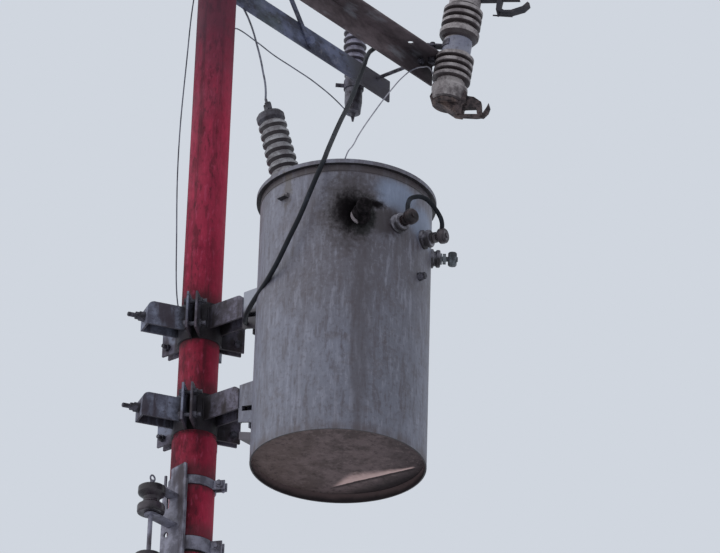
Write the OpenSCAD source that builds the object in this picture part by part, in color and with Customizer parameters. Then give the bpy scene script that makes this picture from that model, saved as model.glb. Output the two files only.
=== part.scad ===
// Pole mounted distribution transformer: a stepped steel pole with two three-way cluster
// clamps, a single phase tank, a double crossarm with cutouts and arresters, and a
// secondary rack. Millimetres, +Z up, origin at the centre of the pole's foot.
// The tank hangs towards -Y and the crossarm runs along X.

/* [Pole] */
// Height of the pole above the ground
pole_h = 8700; // [8680:20:9000]
// Outside diameter of the upper tube
pole_upper_d = 114.3; // [112:0.1:116]
// Outside diameter of the lower tube
pole_lower_d = 128; // [126:1:132]
// Height of the step between the tubes
pole_step_z = 6430; // [6426:1:6431]

/* [Tank] */
// Outside diameter of the tank
tank_d = 480; // [470:2:490]
// Height of the tank from its skirt to the lid's edge
tank_h = 814; // [800:2:830]
// Height of the skirt's lower edge above the ground
tank_z = 6200; // [6190:2:6210]
// Distance from the pole's axis to the tank's axis
tank_reach = 530; // [524:1:536]
// Thickness of the tank's wall
tank_wall = 4; // [3:0.5:6]
// Outside diameter of the lid
lid_d = 504; // [496:2:512]
// Depth of the skirt below the base plate
skirt_h = 26; // [20:1:34]

/* [Clamps] */
// Height of the upper hanger bolts
hanger_upper_z = 6780; // [6776:1:6784]
// Distance between the upper and lower hanger bolts
hanger_pitch = 286; // [280:1:290]
// Distance from the pole's axis to the end of the front arms, which carry the tank
arm_reach = 184; // [180:1:186]
// Distance from the pole's axis to the end of the free side arms
side_reach = 168; // [164:1:172]
// Width of a clamp arm
arm_w = 60; // [56:1:64]
// Height of a clamp arm
arm_h = 72; // [66:1:76]
// Height of the clamp's band
band_h = 114; // [108:1:118]
// Thickness of the clamp's plates
plate_t = 6; // [5:0.5:8]
// Distance from the pole's axis to the edge of a joint flange
flange_reach = 129; // [124:1:134]
// Clear gap between the two flanges of a joint
flange_gap = 20; // [14:1:22]

/* [Crossarm] */
// Length of each crossarm angle
crossarm_l = 1832; // [1800:4:1840]
// Width of each leg of the crossarm angle
crossarm_leg = 75; // [70:1:76]
// Thickness of the crossarm's legs
crossarm_t = 6; // [5:0.5:8]
// Height of the underside of the crossarms
crossarm_z = 7980; // [7960:5:8000]
// Clear distance between the two crossarms
crossarm_gap = 165; // [155:1:175]

/* [Bushings] */
// Diameter of the high voltage bushings at their foot
hv_d = 88; // [84:1:92]
// Tilt of the high voltage bushings from upright, in degrees
hv_tilt = 15.6; // [12:0.2:18]
// Height of the low voltage bushings above the ground
lv_z = 6846; // [6840:1:6850]
// Angle between neighbouring low voltage bushings, in degrees
lv_step = 27; // [25:0.5:29]

/* [Cutouts and arresters] */
// Diameter of the cutouts' sheds
cutout_shed_d = 120; // [116:1:124]
// Lean of the cutouts' tops away from the crossarm, in degrees
cutout_lean = 8; // [6:0.5:10]
// Direction the cutouts face, turned outwards from the tank's side, in degrees
cutout_turn = 30; // [20:1:40]
// Distance from the pole's axis to the bolt that holds a cutout
cutout_bolt_x = 875; // [870:1:880]
// Diameter of the arresters' smooth lower body
arrester_d = 56; // [54:1:60]
// Distance from the pole's axis to an arrester
arrester_x = 878; // [870:2:884]

/* [Secondary rack] */
// Number of spool insulators
spool_n = 3; // [2:1:4]
// Distance from one spool to the next
spool_pitch = 203; // [200:1:210]
// Diameter of a spool
spool_d = 77; // [74:1:80]
// Height of a spool
spool_h = 80; // [76:1:82]
// Height of the uppermost spool's middle
spool_z = 6181; // [6176:1:6186]

/* [Hidden] */
$fn = 48;

pole_r = pole_upper_d / 2;
foot_r = pole_lower_d / 2;
tank_r = tank_d / 2;
hanger_lower_z = hanger_upper_z - hanger_pitch;
// The band reaches further below the hanger bolt than above it
band_above = 52;
arm_above = 40;
arm_corner = 21;
bolt_r = 6.5;
bolt_tip = 218;
nut_af = 22;
nut_h = 12;
outer_nut_af = 24;
jam_nut_af = 19;
washer_r = 15;
clamp_bolt_r = 6;
clamp_nut_af = 19;
clamp_nut_h = 10;
crossarm_top_z = crossarm_z + crossarm_leg;
arm_face_y = crossarm_gap / 2;
brace_z = 8595;
rack_x = -163;
rack_face_x = -74;
rack_top_z = 6272;
rod_r = 6.5;
rack_h = rack_top_z - spool_z + spool_pitch * (spool_n - 1) + 140;

// The leads' routes
HV_LEFT = [[-195, -383, 7306], [-191, -379, 7335], [-131, -310, 7460], [-52, -226, 7575], [19, -147, 7681],
    [90, -68, 7785], [153, 5, 7877], [205, 66, 7950], [240, 115, 8010], [258, 165, 8070], [225, 215, 8125],
    [110, 240, 8170], [-200, 240, 8215], [-560, 220, 8265], [-860, 202, 8312], [-935, 150, 8300],
    [-965, 20, 8190], [-950, -80, 8000], [-905, -115, 7905], [-880, -122, 7885]];
HV_RIGHT = [[206, -342, 7306], [215, -345, 7335], [252, -332, 7378], [324, -293, 7461], [478, -227, 7640],
    [633, -163, 7812], [714, -135, 7899], [779, -120, 7961], [830, -118, 7996], [862, -122, 8005],
    [880, -126, 7960], [880, -122, 7885]];
LV_LOOP = [[-74, -814, 6850], [-73, -811, 6873], [-66, -807, 6895], [-56, -806, 6912], [-43, -809, 6922],
    [-28, -815, 6928], [-11, -821, 6928], [8, -826, 6920], [24, -829, 6909], [39, -830, 6898],
    [52, -829, 6886], [61, -825, 6872], [66, -817, 6856]];
ARRESTER = [[56, -12, 7800], [68, -14, 7803], [86, -9, 7812], [198, 13, 7829], [314, 46, 7851],
    [452, 84, 7884], [610, 129, 7921], [789, 180, 7947], [873, 200, 7944]];
BONDING = [[-31, -200, 6722], [-57, -221, 6710], [-97, -260, 6703], [-150, -328, 6698], [-200, -400, 6693],
    [-240, -464, 6697], [-264, -516, 6722], [-270, -556, 6774], [-267, -592, 6838], [-262, -622, 6908],
    [-250, -640, 6970], [-222, -633, 7021], [-180, -606, 7072], [-99, -552, 7162], [68, -439, 7340],
    [202, -350, 7480], [403, -216, 7703], [553, -115, 7876], [632, -60, 7964], [668, -43, 8004],
    [698, -44, 8031], [722, -59, 8044], [736, -76, 8048]];
GROUND = [[-37, 44, 7930], [-42, 50, 7910], [-45, 54, 7871], [-52, 62, 7663], [-58, 69, 7358],
    [-53, 64, 7093], [-44, 53, 6857], [-39, 47, 6828]];

// A six sided nut or bolt head standing on the plane z = 0
module hex(af, h) {
    cylinder(d = af / cos(30), h = h, $fn = 6);
}

// Places children at a bearing around the pole, where 0 is -Y and positive turns to +X
module bearing(a) {
    rotate([0, 0, a]) children();
}

// Places children on the tank's axis at the given height
module on_tank(z) {
    translate([0, -tank_reach, z]) children();
}

// The pole

module pole_lower() {
    color("firebrick")
    rotate_extrude($fn = 96)
    polygon([[0, 0], [foot_r, 0], [foot_r, pole_step_z - 14], [pole_r, pole_step_z], [0, pole_step_z]]);
}

// The upper tube, closed by a low welded cap
module pole_upper() {
    color("firebrick")
    translate([0, 0, pole_step_z])
    rotate_extrude($fn = 96)
    polygon([[0, 0], [pole_r, 0], [pole_r, pole_h - pole_step_z - 12],
        [pole_r - 4, pole_h - pole_step_z - 6], [pole_r * 0.6, pole_h - pole_step_z - 2],
        [0, pole_h - pole_step_z]]);
}

// Side view of a bracket that reaches out along X, with Y for height and its upper
// outer corner rounded
module arm_outline(reach, above, below, corner) {
    translate([0, -below]) square([reach - corner, above + below]);
    translate([0, -below]) square([reach, above + below - corner]);
    translate([reach - corner, above - corner]) circle(r = corner, $fn = 48);
}

// Stands a side view up so that it faces -Y, spread evenly over the given width
module facing(width) {
    rotate([90, 0, -90]) translate([0, 0, -width / 2]) linear_extrude(width) children();
}

// Plan of a third of a cluster clamp's band, filled up to the pole's axis, with a flange
// at each joint
module sector_plan(r) {
    half_gap = flange_gap / 2;
    // The band ends halfway through its flanges
    cut = half_gap + plate_t / 2;
    intersection() {
        circle(r = r + plate_t, $fn = 96);
        polygon([[0, -2 * cut / sqrt(3)],
            [2 * r * sin(60) - cut * cos(60), -2 * r * cos(60) - cut * sin(60)],
            [0, -4 * r],
            [-2 * r * sin(60) + cut * cos(60), -2 * r * cos(60) - cut * sin(60)]]);
    }
    for (side = [-1, 1])
        rotate(side * 60)
        translate([side > 0 ? -half_gap - plate_t : half_gap, -flange_reach])
        square([plate_t, flange_reach - r + 8]);
}

// One third of a cluster clamp: its share of the band with two flanges, and the
// open-bottomed arm, all facing -Y with the hanger bolt's height at z = 0
module clamp_sector(r, reach) {
    band_z = band_above - band_h;
    difference() {
        union() {
            translate([0, 0, band_z]) linear_extrude(band_h) sector_plan(r);
            // The arm: two side plates under one sheet that is bent down over the end
            difference() {
                facing(arm_w) arm_outline(reach, arm_above, arm_h - arm_above, arm_corner);
                facing(arm_w - 2 * plate_t)
                arm_outline(reach - plate_t, arm_above - plate_t, arm_h, arm_corner - plate_t);
            }
        }
        // Room for the pole
        translate([0, 0, band_z - 1]) cylinder(r = r, h = band_h + 2, $fn = 96);
        // The hanger bolt's hole
        rotate([90, 0, 0]) cylinder(r = bolt_r + 1, h = reach + 1, $fn = 32);
        // Holes for the joint bolts
        for (side = [-1, 1]) for (z = joint_bolt_z())
            rotate([0, 0, side * 60])
            translate([side > 0 ? -40 : 0, -joint_bolt_reach(), z])
            rotate([0, 90, 0]) cylinder(r = clamp_bolt_r + 1, h = 40, $fn = 24);
    }
}

function joint_bolt_reach() = flange_reach - 22;
function joint_bolt_z() = [band_above - 22, band_above - band_h + 22];

module upper_clamp_front() {
    color("slategray") translate([0, 0, hanger_upper_z]) clamp_sector(pole_r, arm_reach);
}

module upper_clamp_left() {
    color("slategray") translate([0, 0, hanger_upper_z]) bearing(-120) clamp_sector(pole_r, side_reach);
}

module upper_clamp_right() {
    color("slategray") translate([0, 0, hanger_upper_z]) bearing(120) clamp_sector(pole_r, side_reach);
}

module lower_clamp_front() {
    color("slategray") translate([0, 0, hanger_lower_z]) clamp_sector(pole_r, arm_reach);
}

module lower_clamp_left() {
    color("slategray") translate([0, 0, hanger_lower_z]) bearing(-120) clamp_sector(pole_r, side_reach);
}

module lower_clamp_right() {
    color("slategray") translate([0, 0, hanger_lower_z]) bearing(120) clamp_sector(pole_r, side_reach);
}

// The bolts that draw the three sectors of each clamp together
module clamp_bolts() {
    grip = flange_gap + 2 * plate_t;
    color("dimgray")
    for (clamp_z = [hanger_upper_z, hanger_lower_z]) for (a = [-60, 60, 180]) for (z = joint_bolt_z())
        translate([0, 0, clamp_z + z]) bearing(a)
        translate([-grip / 2, -joint_bolt_reach(), 0])
        rotate([0, 90, 0]) {
            translate([0, 0, -clamp_nut_h]) hex(clamp_nut_af, clamp_nut_h);
            cylinder(r = clamp_bolt_r, h = grip + 22, $fn = 24);
            translate([0, 0, grip]) hex(clamp_nut_af, clamp_nut_h);
        }
}

// A hanger bolt through the end of an arm of the given reach: a nut inside, and a washer, a
// nut and a jam nut outside whatever hangs on it
module hanger_bolt(reach, hung) {
    seat = reach + hung;
    inside = reach - plate_t - nut_h;
    tip = bolt_tip + hung;
    // The plain shank is a little thicker than the thread outside
    shank_r = bolt_r + 0.5;
    rotate([90, 0, 0])
    union() {
        rotate_extrude($fn = 32)
        polygon([[0, inside - 8], [shank_r, inside - 8], [shank_r, seat], [washer_r, seat],
            [washer_r, seat + 3], [bolt_r, seat + 3], [bolt_r, tip - 2], [bolt_r - 2, tip], [0, tip]]);
        translate([0, 0, inside]) hex(nut_af, nut_h);
        translate([0, 0, seat + 2]) hex(outer_nut_af, 14);
        translate([0, 0, seat + 15]) hex(jam_nut_af, 12);
    }
}

module hanger_bolts() {
    color("dimgray")
    for (z = [hanger_upper_z, hanger_lower_z]) translate([0, 0, z]) {
        hanger_bolt(arm_reach, plate_t);
        for (side = [-1, 1]) bearing(side * 120) hanger_bolt(side_reach, 0);
    }
}

// The tank

module tank_shell() {
    color("silver")
    on_tank(tank_z)
    difference() {
        cylinder(r = tank_r, h = tank_h - 12, $fn = 128);
        translate([0, 0, -1]) cylinder(r = tank_r - tank_wall, h = tank_h, $fn = 128);
    }
}

module tank_base() {
    color("sienna")
    on_tank(tank_z + skirt_h)
    cylinder(r = tank_r - tank_wall, h = 6, $fn = 128);
}

module tank_lid() {
    lid_r = lid_d / 2;
    color("silver")
    on_tank(tank_z + tank_h - 12)
    rotate_extrude($fn = 128)
    polygon([[0, 0], [lid_r, 0], [lid_r, 12], [lid_r - 8, 12], [lid_r - 10, 6], [tank_r - 20, 8],
        [tank_r - 60, 30], [tank_r / 3, 44], [0, 46]]);
}

// Plan of a hanger lug: a face plate on the arm's end and two side plates that run to the
// tank's wall
module lug_plan(lug_w) {
    face_y = -arm_reach - plate_t;
    wall_y = -tank_reach + tank_r;
    difference() {
        translate([-lug_w / 2, wall_y - 8]) square([lug_w, face_y + plate_t - wall_y + 8]);
        translate([-lug_w / 2 + plate_t, wall_y - 9]) square([lug_w - 2 * plate_t, face_y - wall_y + 9]);
        translate([0, -tank_reach]) circle(r = tank_r, $fn = 128);
    }
}

// A hanger lug with its top at z = 0 and its bolt at the given height: the bolt goes in from
// below, a wedge pierces both side plates and their lower edges run down to the wall
module tank_lug(bolt_z) {
    lug_w = 54;
    lug_h = 150;
    face_foot = -84;
    slot_r = bolt_r + 1.5;
    difference() {
        translate([0, 0, -lug_h]) linear_extrude(lug_h) lug_plan(lug_w);
        translate([0, -arm_reach + 1, 0]) rotate([90, 0, 0])
        linear_extrude(plate_t + 2)
        union() {
            translate([0, bolt_z]) circle(r = slot_r, $fn = 32);
            translate([-slot_r, face_foot]) square([2 * slot_r, bolt_z - face_foot]);
            translate([-17, -lug_h - 1]) square([34, lug_h + 1 + face_foot]);
        }
        facing(lug_w + 2) polygon([[196, -68], [240, -75], [240, -92], [196, -83]]);
        facing(lug_w + 2) polygon([[180, -113], [300, -144], [300, -lug_h - 1], [180, -lug_h - 1]]);
    }
}

// Both hanger lugs, and the slanting bar that keeps the tank's foot off the pole
module tank_lugs() {
    color("lightgray") {
        translate([0, 0, hanger_upper_z + 46]) tank_lug(-46);
        translate([0, 0, hanger_lower_z + 40]) tank_lug(-40);
        difference() {
            facing(60) polygon([[193, 6387], [193, 6364], [300, 6330], [300, 6353]]);
            on_tank(6320) cylinder(r = tank_r, h = 60, $fn = 128);
        }
    }
}

// Small hooks for lifting, one on each side of the tank
module lifting_lugs() {
    color("gray")
    for (side = [-1, 1])
        on_tank(tank_z + tank_h - 88) bearing(side * 95)
        translate([-15, -tank_r - 17, 0])
        difference() {
            cube([30, 20, 14]);
            translate([-1, -1, 5]) cube([32, 10, 20]);
        }
}

module pressure_plug() {
    color("dimgray")
    on_tank(6722) bearing(9)
    translate([0, -tank_r + 1, 0]) rotate([90, 0, 0]) {
        cylinder(r = 12, h = 8, $fn = 32);
        translate([0, 0, 7]) hex(17, 14);
    }
}

// A high voltage bushing: shallow ridges that narrow towards a cap and a two-lobed clamp
module hv_bushing() {
    foot_r = hv_d / 2;
    ridges = [for (i = [0:7]) each [
        [foot_r - 8 - i / 2, 24 + i * 26],
        [foot_r - i / 2, 32 + i * 26],
        [foot_r - i / 2, 39 + i * 26],
        [foot_r - 8 - i / 2, 47 + i * 26]]];
    rotate_extrude($fn = 64)
    polygon(concat([[0, 0], [foot_r + 3, 0], [foot_r + 3, 14], [foot_r - 8, 18]], ridges,
        [[32, 230], [40, 238], [40, 252], [34, 260], [12, 264], [0, 264]]));
    for (side = [-1, 1]) translate([side * 7, 0, 263]) cylinder(r = 9, h = 29, $fn = 32);
    translate([-18, -6, 270]) cube([36, 12, 15]);
    translate([0, 0, 288]) cylinder(r = 4, h = 20, $fn = 24);
}

// Stands a bushing on the lid at a bearing around the tank and a distance from its axis
module hv_place(turn, reach) {
    on_tank(tank_z + tank_h - 2) bearing(turn)
    translate([0, -reach, 0]) rotate([hv_tilt, 0, 0]) children();
}

module hv_bushing_left() {
    color("gainsboro") hv_place(-127, 161) hv_bushing();
}

module hv_bushing_right() {
    color("gainsboro") hv_place(132, 195) hv_bushing();
}

// A low voltage bushing on its side: a porcelain collar, a nut and a round terminal
module lv_bushing() {
    rotate([90, 0, 0]) translate([0, 0, tank_r - 3]) {
        rotate_extrude($fn = 48)
        polygon([[0, 0], [27, 0], [27, 8], [21, 11], [21, 15], [25, 18], [25, 25], [23, 28], [16, 29],
            [16, 33], [7, 33], [7, 50], [17, 50], [21, 54], [22, 62], [21, 70], [17, 74], [7, 74], [7, 77],
            [0, 77]]);
        translate([0, 0, 35]) hex(26, 9);
    }
}

module lv_place(i) {
    on_tank(lv_z) bearing((i - 2.5) * lv_step) children();
}

module lv_bushing_1() {
    color("dimgray") lv_place(1) lv_bushing();
}

module lv_bushing_2() {
    color("gainsboro") lv_place(2) lv_bushing();
}

module lv_bushing_3() {
    color("gainsboro") lv_place(3) lv_bushing();
}

module lv_bushing_4() {
    color("gainsboro") lv_place(4) lv_bushing();
}

// The crossarm

// One angle, with its upright leg on y = 0 and its level leg on top pointing to -Y
module crossarm() {
    difference() {
        rotate([90, 0, 90])
        translate([0, 0, -crossarm_l / 2])
        linear_extrude(crossarm_l)
        polygon([[0, 0], [0, crossarm_leg], [-crossarm_leg, crossarm_leg],
            [-crossarm_leg, crossarm_leg - crossarm_t], [-crossarm_t, crossarm_leg - crossarm_t],
            [-crossarm_t, 0]]);
        for (side = [-1, 1]) for (x = [762, 875])
            translate([side * x, -crossarm_leg / 2 - 3, crossarm_leg - 20])
            cylinder(r = 10, h = 40, $fn = 24);
    }
}

module crossarm_front() {
    color("sienna") translate([0, -arm_face_y, crossarm_z]) crossarm();
}

module crossarm_rear() {
    color("slategray") translate([0, arm_face_y, crossarm_z]) mirror([0, 1, 0]) crossarm();
}

// The blocks between the round pole and the flat angles
module crossarm_saddles() {
    color("slategray")
    for (side = [-1, 1])
        translate([-70, side > 0 ? pole_r - 18 : -arm_face_y, crossarm_z])
        difference() {
            cube([140, arm_face_y - pole_r + 18, crossarm_leg]);
            translate([70, side > 0 ? 18 - pole_r : arm_face_y, -1])
            cylinder(r = pole_r, h = crossarm_leg + 2, $fn = 96);
        }
}

// A bolt along Y with a nut on the far side of both angles
module cross_bolt(r, af, nut_h) {
    reach = arm_face_y + crossarm_t;
    rotate([-90, 0, 0]) {
        translate([0, 0, -reach - nut_h - 2]) cylinder(r = r, h = 2 * (reach + nut_h + 2), $fn = 32);
        for (z = [-reach - nut_h, reach]) translate([0, 0, z]) hex(af, nut_h);
    }
}

// Two bolts that clamp the angles to the pole and two thinner ones that tie their ends
module crossarm_bolts() {
    color("dimgray")
    for (side = [-1, 1]) {
        translate([side * 95, 0, crossarm_z + 40]) cross_bolt(8, 24, 13);
        translate([side * 852, 0, crossarm_z + 57]) cross_bolt(6, 19, 10);
    }
}

// A flat bar in the XZ plane between two points, rounded at both ends
module flat_bar(start, end, width, thickness) {
    run = end - start;
    rotate([90, 0, 0])
    translate([0, 0, -thickness])
    linear_extrude(thickness) {
        translate(start) rotate(atan2(run[1], run[0])) translate([0, -width / 2]) square([norm(run), width]);
        translate(start) circle(d = width, $fn = 32);
        translate(end) circle(d = width, $fn = 32);
    }
}

// The bars that stay the rear angle from the pole's top, with the band that holds them
module crossarm_braces() {
    bar_y = arm_face_y - crossarm_t;
    color("slategray") {
        for (side = [-1, 1]) {
            translate([0, bar_y, 0]) flat_bar([side * 35, brace_z], [side * 520, 7996], 17, crossarm_t);
            translate([side * 510, bar_y + 1, 8008]) rotate([90, 0, 0]) hex(24, 16);
            translate([side * 35, bar_y + 1, brace_z]) rotate([90, 0, 0]) hex(19, 12);
        }
        translate([0, 0, brace_z - 22])
        difference() {
            union() {
                cylinder(r = pole_r + 5, h = 44, $fn = 96);
                translate([-50, 0, 0]) cube([100, bar_y, 44]);
            }
            translate([0, 0, -1]) cylinder(r = pole_r, h = 46, $fn = 96);
        }
    }
}

// The cutouts

// A shed profile: each shed drops from its core, turns at an upright rim that takes the
// given share of the pitch and slopes back up
function sheds(n, pitch, core_r, shed_r, z0, rim) = [for (i = [0:n - 1]) each [
    [core_r, z0 + i * pitch],
    [shed_r - 3, z0 + (i + 0.1) * pitch],
    [shed_r, z0 + (i + 0.2) * pitch],
    [shed_r, z0 + (i + 0.2 + rim) * pitch],
    [shed_r - 3, z0 + (i + 0.32 + rim) * pitch],
    [core_r + 1, z0 + (i + 0.9) * pitch]]];

// Puts a cutout's middle at the origin: it leans towards -Y, which is turned outwards
module cutout_place(side) {
    translate([side * cutout_bolt_x, -120, 8069])
    bearing(side * cutout_turn)
    translate([0, -76, 0]) rotate([cutout_lean, 0, 0]) children();
}

// Porcelain in one piece: a tapered foot, four sheds, the plain middle that the bracket
// holds, a deep bell, three sheds and a top cap
module cutout_insulator() {
    core_r = 45;
    shed_r = cutout_shed_d / 2;
    outline = concat([[0, -187], [47, -187], [50, -181], [57, -141], [56, -134], [core_r, -130]],
        sheds(4, 24, core_r, shed_r, -114, 0.42),
        [[core_r, -20], [core_r, 34], [shed_r - 6, 39], [shed_r + 2, 50], [shed_r + 3, 64], [shed_r, 69],
            [core_r + 3, 76]],
        sheds(3, 24, core_r + 1, shed_r + 2, 81, 0.42),
        [[50, 156], [50, 184], [46, 188], [0, 188]]);
    rotate_extrude($fn = 64) polygon(outline);
}

module cutout_insulator_left() {
    color("gainsboro") cutout_place(-1) cutout_insulator();
}

module cutout_insulator_right() {
    color("gainsboro") cutout_place(1) cutout_insulator();
}

// The empty holder: a lower hinge casting with its narrow loop and upturned tongue, and the
// upper contact with the hook that would catch the fuse tube and a thin rod under it
module cutout_contacts() {
    difference() {
        union() {
            facing(44) polygon([[-50, -166], [-54, -179], [-49, -191], [-3, -208], [30, -228], [53, -230],
                [54, -200], [62, -192], [60, -156], [50, -149], [46, -166], [30, -186]]);
            facing(20) polygon([[40, -194], [56, -162], [82, -164], [108, -180], [118, -228], [100, -232],
                [40, -233]]);
            // The cup under the porcelain's foot
            translate([0, 0, -198]) cylinder(r = 46, h = 10, $fn = 64);
        }
        // The loop's opening, seen from its side
        facing(60) polygon([[57, -204], [95, -200], [101, -224], [58, -227]]);
        // Room for the porcelain's foot
        translate([0, 0, -187]) cylinder(r = 49, h = 400, $fn = 64);
    }
    facing(12) polygon([[100, -230], [122, -232], [135, -214], [138, -196], [131, -180], [126, -197],
        [117, -217], [104, -222]]);
    facing(30) polygon([[-30, 187], [-30, 205], [166, 208], [172, 201], [118, 197], [116, 160], [130, 152],
        [152, 154], [186, 170], [200, 187], [207, 182], [192, 163], [154, 147], [124, 144], [104, 152],
        [102, 192], [40, 187]]);
    translate([0, -95, 138]) rotate([90, 0, 0]) cylinder(r = 2.5, h = 63, $fn = 16);
    translate([0, -112, 136]) cylinder(r = 4, h = 14, $fn = 24);
}

module cutout_contacts_left() {
    color("dimgray") cutout_place(-1) cutout_contacts();
}

module cutout_contacts_right() {
    color("dimgray") cutout_place(1) cutout_contacts();
}

// The strap from the crossarm's upright bolt to the plain middle of each cutout
module cutout_brackets() {
    color("gray")
    for (side = [-1, 1]) {
        translate([side * cutout_bolt_x, -120, crossarm_top_z - 24]) {
            cylinder(r = 8, h = 74, $fn = 32);
            translate([0, 0, 4]) hex(24, 13);
            translate([0, 0, 24]) hex(24, 10);
            translate([0, 0, 43]) hex(24, 8);
        }
        cutout_place(side)
        difference() {
            union() {
                translate([-14, 0, 10]) cube([28, 94, 6]);
                translate([0, 0, 2]) cylinder(r = 48, h = 20, $fn = 64);
            }
            translate([0, 0, -30]) cylinder(r = 45, h = 60, $fn = 64);
            translate([-60, -60, -30]) cube([120, 80, 80]);
        }
    }
}

// The arresters

module arrester() {
    body_r = arrester_d / 2;
    outline = concat([[0, -178], [3, -178], [8, -150], [24, -148], [body_r - 2, -128], [body_r, -110],
            [body_r, -20], [body_r + 3, -14], [body_r + 3, 6]],
        sheds(6, 25, body_r, body_r + 9, 12, 0.16),
        [[body_r - 2, 166], [16, 172], [7, 174], [7, 196], [0, 196]]);
    rotate_extrude($fn = 48) polygon(outline);
}

module arrester_left() {
    color("gainsboro") translate([-arrester_x, 200, 8110]) arrester();
}

module arrester_right() {
    color("gainsboro") translate([arrester_x, 200, 8110]) arrester();
}

// A strap from the rear angle around each arrester, drawn tight by one slanting bolt
module arrester_brackets() {
    strap_r = arrester_d / 2 + 4;
    color("gray")
    for (side = [-1, 1]) translate([side * arrester_x, 200, crossarm_top_z])
        difference() {
            union() {
                translate([0, 0, -8]) cylinder(r = strap_r, h = 30, $fn = 48);
                translate([-18, -100, 0]) cube([36, 100 - strap_r + 6, 6]);
                translate([-18, -strap_r - 4, 0]) cube([36, 12, 22]);
                bearing(side * -135) translate([0, -strap_r + 4, 5]) rotate([90, 0, 0])
                cylinder(r = 6.5, h = 30, $fn = 24);
            }
            translate([0, 0, -20]) cylinder(r = arrester_d / 2, h = 60, $fn = 48);
        }
}

// The secondary rack

// Outline of the rack's face, Y across and Z as height below the shoulder: a broad tongue
// above with a slanting top, an open slot beside it, a long hole and two round ones
module rack_face() {
    difference() {
        union() {
            translate([-42, -rack_h]) square([84, rack_h]);
            polygon([[-40, -1], [-40, 46], [-36, 49], [11, 41], [14, 38], [14, -1]]);
            translate([33, -1]) square([6, 27]);
        }
        translate([23.5, -2]) circle(r = 9.5, $fn = 32);
        translate([14, -2]) square([19, 40]);
        translate([15.5, -76]) square([9, 30]);
        translate([20, -76]) circle(r = 4.5, $fn = 24);
        translate([20, -46]) circle(r = 4.5, $fn = 24);
        translate([22, -122]) circle(r = 12, $fn = 32);
        translate([22, -157]) circle(r = 8, $fn = 32);
    }
}

module rack_channel() {
    ear_w = 36;
    color("lightslategray") {
        translate([rack_face_x, 0, rack_top_z])
        rotate([90, 0, 90])
        linear_extrude(6) rack_face();
        // The plate's two long edges are turned in a little
        for (side = [-1, 1])
            translate([rack_face_x, side > 0 ? 37 : -42, rack_top_z - rack_h]) cube([9, 5, rack_h]);
        // An ear above and below each spool, drilled for the rod
        for (i = [0:spool_n - 1]) for (end = [-1, 1])
            translate([rack_x, 0, spool_z - i * spool_pitch + end * (spool_h / 2 + 4)])
            difference() {
                union() {
                    translate([0, -ear_w / 2, -3]) cube([rack_face_x - rack_x + 1, ear_w, 6]);
                    translate([0, 0, -3]) cylinder(r = ear_w / 2, h = 6, $fn = 48);
                }
                translate([0, 0, -4]) cylinder(r = rod_r + 1, h = 8, $fn = 24);
            }
    }
}

// Glazed spools with a deep groove for a wire
module rack_spools() {
    rim = spool_d / 2;
    color("saddlebrown")
    for (i = [0:spool_n - 1])
        translate([rack_x, 0, spool_z - i * spool_pitch - spool_h / 2])
        rotate_extrude($fn = 48)
        polygon([[rod_r + 0.5, 0], [rim - 4, 0], [rim - 1, 2], [rim, 5], [rim, 20], [rim - 2, 24],
            [rim - 14, 33], [rim - 16, 40], [rim - 14, 47], [rim - 2, 56], [rim, 60], [rim, spool_h - 5],
            [rim - 1, spool_h - 2], [rim - 4, spool_h], [rod_r + 0.5, spool_h]]);
}

// The rod through the spools, ending in a ring above and a head below
module rack_rod() {
    rod_h = spool_pitch * (spool_n - 1) + spool_h + 40;
    color("gray")
    translate([rack_x, 0, spool_z + spool_h / 2 + 20 - rod_h]) {
        cylinder(r = rod_r, h = rod_h, $fn = 32);
        translate([0, 0, -4]) cylinder(r = 11, h = 8, $fn = 32);
        translate([0, 0, rod_h + 6]) rotate([90, 0, 0])
        rotate_extrude($fn = 32) translate([9, 0]) circle(r = 2.5, $fn = 16);
    }
}

// A band around the pole that holds the rack, drawn tight by two ears and a bolt
module rack_band(z, band_h) {
    translate([0, 0, z]) bearing(25) {
        linear_extrude(band_h)
        difference() {
            union() {
                difference() {
                    circle(r = foot_r + 4, $fn = 96);
                    translate([-11, -foot_r - 20]) square([22, 60]);
                }
                for (x = [-14, 9]) translate([x, -foot_r - 34]) square([5, 46]);
            }
            circle(r = foot_r, $fn = 96);
        }
        translate([-32, -foot_r - 20, band_h / 2]) rotate([0, 90, 0]) {
            cylinder(r = 6, h = 62, $fn = 24);
            translate([0, 0, 8]) hex(19, 11);
            translate([0, 0, 45]) hex(19, 11);
        }
    }
}

module rack_bands() {
    color("gray") {
        rack_band(rack_top_z - 8, 25);
        rack_band(rack_top_z - 207, 40);
        rack_band(rack_top_z - rack_h + 40, 40);
    }
}

// The leads

// A round lead: rings of the given radius swept along a route, one at each point
function unit(v) = v / norm(v);
function heading(p, i) = unit(p[min(i + 1, len(p) - 1)] - p[max(i - 1, 0)]);
function side_of(t) = unit(cross(t, abs(t[2]) > 0.9 ? [1, 0, 0] : [0, 0, 1]));

module lead(route, r, sides) {
    n = len(route);
    rings = [for (i = [0:n - 1])
        let (t = heading(route, i), u = side_of(t), w = cross(t, u))
        for (k = [0:sides - 1])
            route[i] + r * (cos(360 * k / sides) * u + sin(360 * k / sides) * w)];
    walls = [for (i = [0:n - 2]) for (k = [0:sides - 1])
        [i * sides + k, i * sides + (k + 1) % sides, (i + 1) * sides + (k + 1) % sides,
            (i + 1) * sides + k]];
    start = [for (k = [0:sides - 1]) sides - 1 - k];
    finish = [for (k = [0:sides - 1]) (n - 1) * sides + k];
    polyhedron(points = rings, faces = concat([start], walls, [finish]), convexity = 8);
}

// From the left high voltage bushing past the pole, behind the rear angle to the arrester
// and on to the cutout's hinge
module hv_lead_left() {
    color("dimgray") lead(HV_LEFT, 3, 10);
}

// From the right cutout's hinge over the front angle and down to the right bushing
module hv_lead_right() {
    color("silver") lead(HV_RIGHT, 2, 8);
}

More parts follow.
